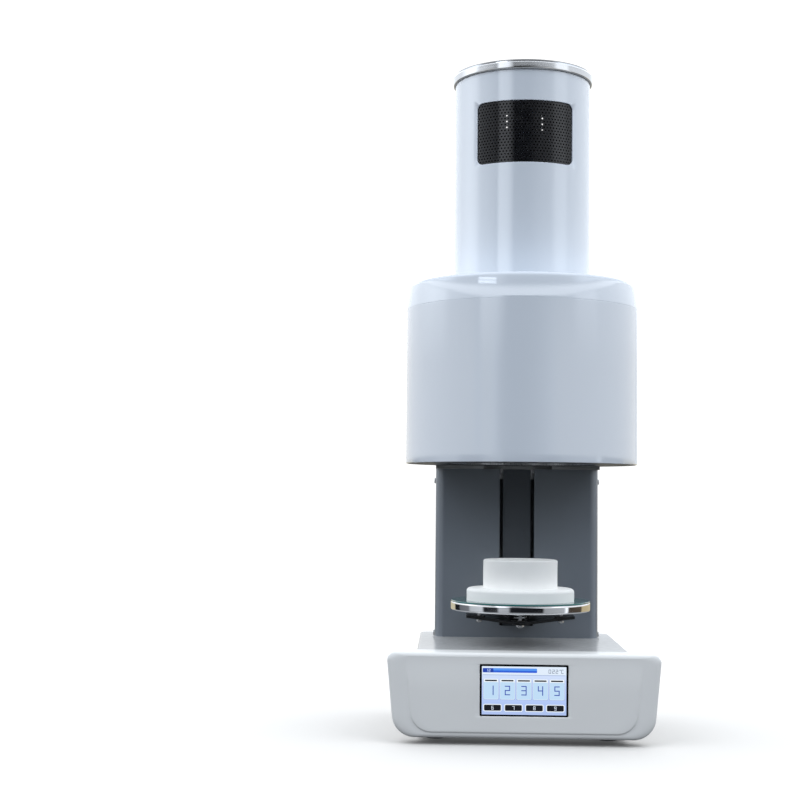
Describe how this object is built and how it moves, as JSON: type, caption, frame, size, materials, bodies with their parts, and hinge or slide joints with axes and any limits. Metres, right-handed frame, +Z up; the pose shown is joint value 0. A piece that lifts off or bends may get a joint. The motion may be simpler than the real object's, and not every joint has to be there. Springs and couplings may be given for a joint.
{
  "type": "dental lab furnace",
  "caption": "Vacuum porcelain furnace with a round muffle housing and vented tower on a column, a motor-driven lift table below it, and a touch-screen base.",
  "frame": {"origin": "on the floor, at the middle of the whole object's length and width", "axes": "+Z up, -Y towards the operator (the screen faces -Y), +X to the operator's right"},
  "size_m": [0.3102, 0.3244, 0.792],
  "materials": {
    "white_paint": "gloss",
    "white_plastic": "satin gloss",
    "light_grey_paint": "satin",
    "column_paint": "satin",
    "dark_grey_paint": "satin",
    "black_paint": "satin",
    "chrome": "polished",
    "steel": "machined",
    "spring_steel": "bright wire",
    "aluminium": "machined",
    "brass": "turned",
    "rubber": "matt",
    "seal": "glossy",
    "fibre": "matt",
    "insulation": "matt",
    "quartz": "clear",
    "element": "oxidised",
    "alumina": "glazed",
    "black_plastic": "fine texture",
    "screen_glass": "polished",
    "circuit_board": "solder mask",
    "perforated_black": "satin",
    "zinc_screw": "zinc plated",
    "rocker_plastic": "gloss"
  },
  "bodies": {
    "frame": {"base_plate": "steel", "base_shell": "light_grey_paint", "bezel_rear_frame": "white_plastic", "case_screws": "zinc_screw", "chamber_insulation": "insulation", "column_cover": "column_paint", "column_frame": "steel", "column_rear_panel": "column_paint", "control_board": "circuit_board", "display_glass": "screen_glass", "display_module": "black_plastic", "fan_bracket": "steel", "fan_frame": "black_plastic", "front_bezel": "white_plastic", "front_grille": "perforated_black", "guide_rods": "chrome", "heater_terminals": "alumina", "heating_coil": "element", "lift_motor": "black_paint", "limit_sensors": "black_plastic", "muffle_base_plate": "dark_grey_paint", "muffle_shell": "white_paint", "power_inlet": "black_plastic", "power_supply": "aluminium", "power_switch_housing": "black_plastic", "pump_outlet": "black_plastic", "quartz_tube": "quartz", "relay_heat_sink": "aluminium", "rubber_feet": "rubber", "screw_bearings": "steel", "sealing_flange": "steel", "shoulder_cover": "white_paint", "slot_plate": "column_paint", "solid_state_relay": "black_plastic", "thermocouple": "alumina", "top_cap": "chrome", "top_mounting_plate": "light_grey_paint", "tower_shell": "white_paint", "vacuum_bell": "steel", "vacuum_pipe": "steel", "vacuum_port": "brass", "vacuum_solenoid_valve": "brass"},
    "lift": {"carriage_block": "aluminium", "linear_bushings": "steel", "lift_nut": "brass", "lift_arm": "black_paint", "arm_screws": "zinc_screw", "table_spring": "spring_steel"},
    "table": {"table_plate": "chrome", "table_seal": "seal", "table_studs": "steel", "table_nuts": "steel", "plinth_base": "fibre", "plinth_top": "fibre"},
    "screw": {"lead_screw": "steel", "motor_coupling": "aluminium"},
    "fan": {"fan_rotor": "black_plastic"},
    "rocker": {"power_rocker": "rocker_plastic"},
    "drawer": {"fuse_drawer": "black_plastic"}
  },
  "joints": [
    {"name": "lift", "type": "slide", "parent": "frame", "child": "lift", "axis": [0, 0, 1], "range_m": [0, 0.1623]},
    {"name": "screw_spin", "type": "hinge", "parent": "frame", "child": "screw", "pos_m": [0, 0.10425, 0.18], "axis": [0, 0, 1], "continuous": true},
    {"name": "table_float", "type": "slide", "parent": "lift", "child": "table", "axis": [0, 0, -1], "range_m": [0, 0.003], "stiffness_N_per_m": 12000, "springref_m": -0.004, "deforming": ["table_spring"]},
    {"name": "fan_spin", "type": "hinge", "parent": "frame", "child": "fan", "pos_m": [0, -0.02375, 0.613], "axis": [0, 0, 1], "continuous": true},
    {"name": "power_rocker", "type": "hinge", "parent": "frame", "child": "rocker", "pos_m": [0.1065, 0.14025, 0.045], "axis": [1, 0, 0], "range_deg": [0, 24]},
    {"name": "fuse_drawer", "type": "slide", "parent": "frame", "child": "drawer", "axis": [0, 1, 0], "range_m": [0, 0.014]}
  ],
  "couplings": [
    {"joint": "screw_spin", "follows": "lift", "rad_per_m": -785.4}
  ]
}
